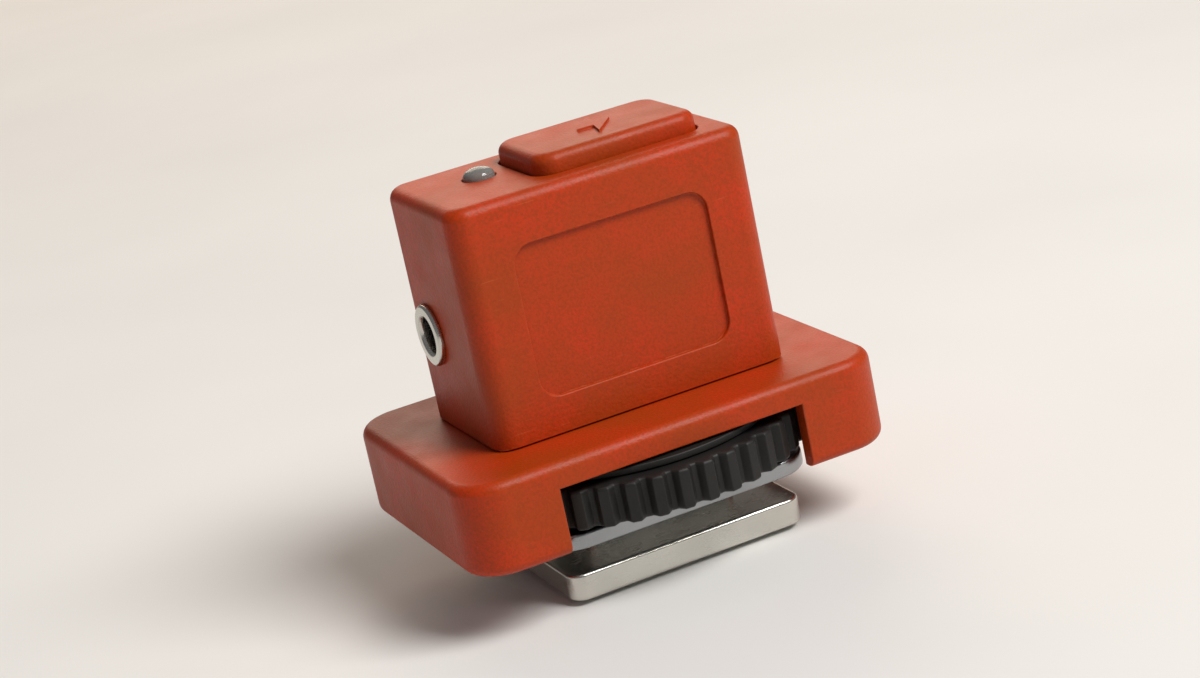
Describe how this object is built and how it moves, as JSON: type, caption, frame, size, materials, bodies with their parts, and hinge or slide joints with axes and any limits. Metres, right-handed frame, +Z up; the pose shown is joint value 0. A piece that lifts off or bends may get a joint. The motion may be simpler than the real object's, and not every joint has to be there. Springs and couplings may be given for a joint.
{
  "type": "wireless flash trigger",
  "caption": "Small orange radio transmitter that slides into a camera accessory shoe, clamps with a thumb wheel and fires a studio flash.",
  "frame": {"origin": "centre of the shoe foot's underside, in the plane of its bottom face", "axes": "+Z up, away from the camera shoe; -Y towards the lens side, which is plain; +Y towards the viewer, where the switches are; +X to the battery tray"},
  "size_m": [0.033, 0.027, 0.031],
  "materials": {
    "orange_plastic": "burnt orange moulded plastic, fine satin texture",
    "black_plastic": "black moulded plastic",
    "white_plastic": "white moulded plastic",
    "nickel_plate": "satin nickel plating",
    "steel": "plain zinc-plated steel",
    "gold_plate": "gold-plated brass or spring bronze",
    "copper": "enamelled copper wire",
    "board_laminate": "green solder mask on glass laminate",
    "lens_plastic": "clear grey polycarbonate",
    "red_insulation": "red wire insulation",
    "black_insulation": "black wire insulation"
  },
  "bodies": {
    "housing": {"base_shell": "orange_plastic", "front_shell": "orange_plastic", "rear_cover": "orange_plastic", "thrust_washer": "black_plastic", "shoe_foot": "nickel_plate", "foot_insulator": "black_plastic", "sync_pin_spring": "steel", "sync_pin_terminal": "gold_plate", "foot_screw_1": "steel", "foot_screw_2": "steel", "foot_screw_3": "steel", "foot_screw_4": "steel", "shell_screw_1": "steel", "shell_screw_2": "steel", "cover_screw_1": "steel", "cover_screw_2": "steel", "status_lens": "lens_plastic", "status_led": "white_plastic", "main_board": "board_laminate", "radio_shield": "nickel_plate", "controller_chip": "black_plastic", "crystal": "nickel_plate", "antenna_coil": "copper", "sync_jack_body": "black_plastic", "sync_jack_bushing": "nickel_plate", "channel_switch_body": "black_plastic", "power_switch_body": "nickel_plate", "test_switch_body": "black_plastic", "sync_wire": "red_insulation", "ground_wire": "black_insulation", "cell_contact_negative": "gold_plate", "cell_contact_positive": "gold_plate"},
    "lock_wheel_body": {"lock_wheel": "black_plastic"},
    "clamp_body": {"clamp_plate": "steel"},
    "sync_pin_body": {"sync_pin": "gold_plate"},
    "test_button_body": {"test_button": "orange_plastic"},
    "test_plunger_body": {"test_switch_plunger": "white_plastic"},
    "power_knob_body": {"power_knob": "black_plastic"},
    "channel_1_body": {"channel_slider_1": "white_plastic"},
    "channel_2_body": {"channel_slider_2": "white_plastic"},
    "channel_3_body": {"channel_slider_3": "white_plastic"},
    "battery_tray_body": {"battery_tray": "orange_plastic", "coin_cell": "steel"}
  },
  "joints": [
    {"name": "lock_wheel_turn", "type": "hinge", "parent": "housing", "child": "lock_wheel_body", "pos_m": [0, 0, 0.0072], "axis": [0, 0, -1], "range_deg": [0, 285]},
    {"name": "clamp_plate_lower", "type": "slide", "parent": "housing", "child": "clamp_body", "axis": [0, 0, -1], "range_m": [0, 0.0012]},
    {"name": "sync_pin_press", "type": "slide", "parent": "housing", "child": "sync_pin_body", "axis": [0, 0, 1], "range_m": [0, 0.0004], "deforming": ["sync_pin_spring"]},
    {"name": "test_button_press", "type": "slide", "parent": "housing", "child": "test_button_body", "axis": [0, 0, -1], "range_m": [0, 0.0005]},
    {"name": "test_plunger_press", "type": "slide", "parent": "housing", "child": "test_plunger_body", "axis": [0, 0, -1], "range_m": [0, 0.0005]},
    {"name": "power_switch_slide", "type": "slide", "parent": "housing", "child": "power_knob_body", "axis": [1, 0, 0], "range_m": [0, 0.0018]},
    {"name": "channel_1_slide", "type": "slide", "parent": "housing", "child": "channel_1_body", "axis": [0, 0, 1], "range_m": [0, 0.0018]},
    {"name": "channel_2_slide", "type": "slide", "parent": "housing", "child": "channel_2_body", "axis": [0, 0, 1], "range_m": [0, 0.0018]},
    {"name": "channel_3_slide", "type": "slide", "parent": "housing", "child": "channel_3_body", "axis": [0, 0, 1], "range_m": [0, 0.0018]},
    {"name": "battery_tray_slide", "type": "slide", "parent": "housing", "child": "battery_tray_body", "axis": [1, 0, 0], "range_m": [0, 0.0155]}
  ],
  "couplings": [
    {"joint": "clamp_plate_lower", "follows": "lock_wheel_turn", "m_per_rad": 0.00023873},
    {"joint": "test_plunger_press", "follows": "test_button_press", "ratio": 1}
  ]
}
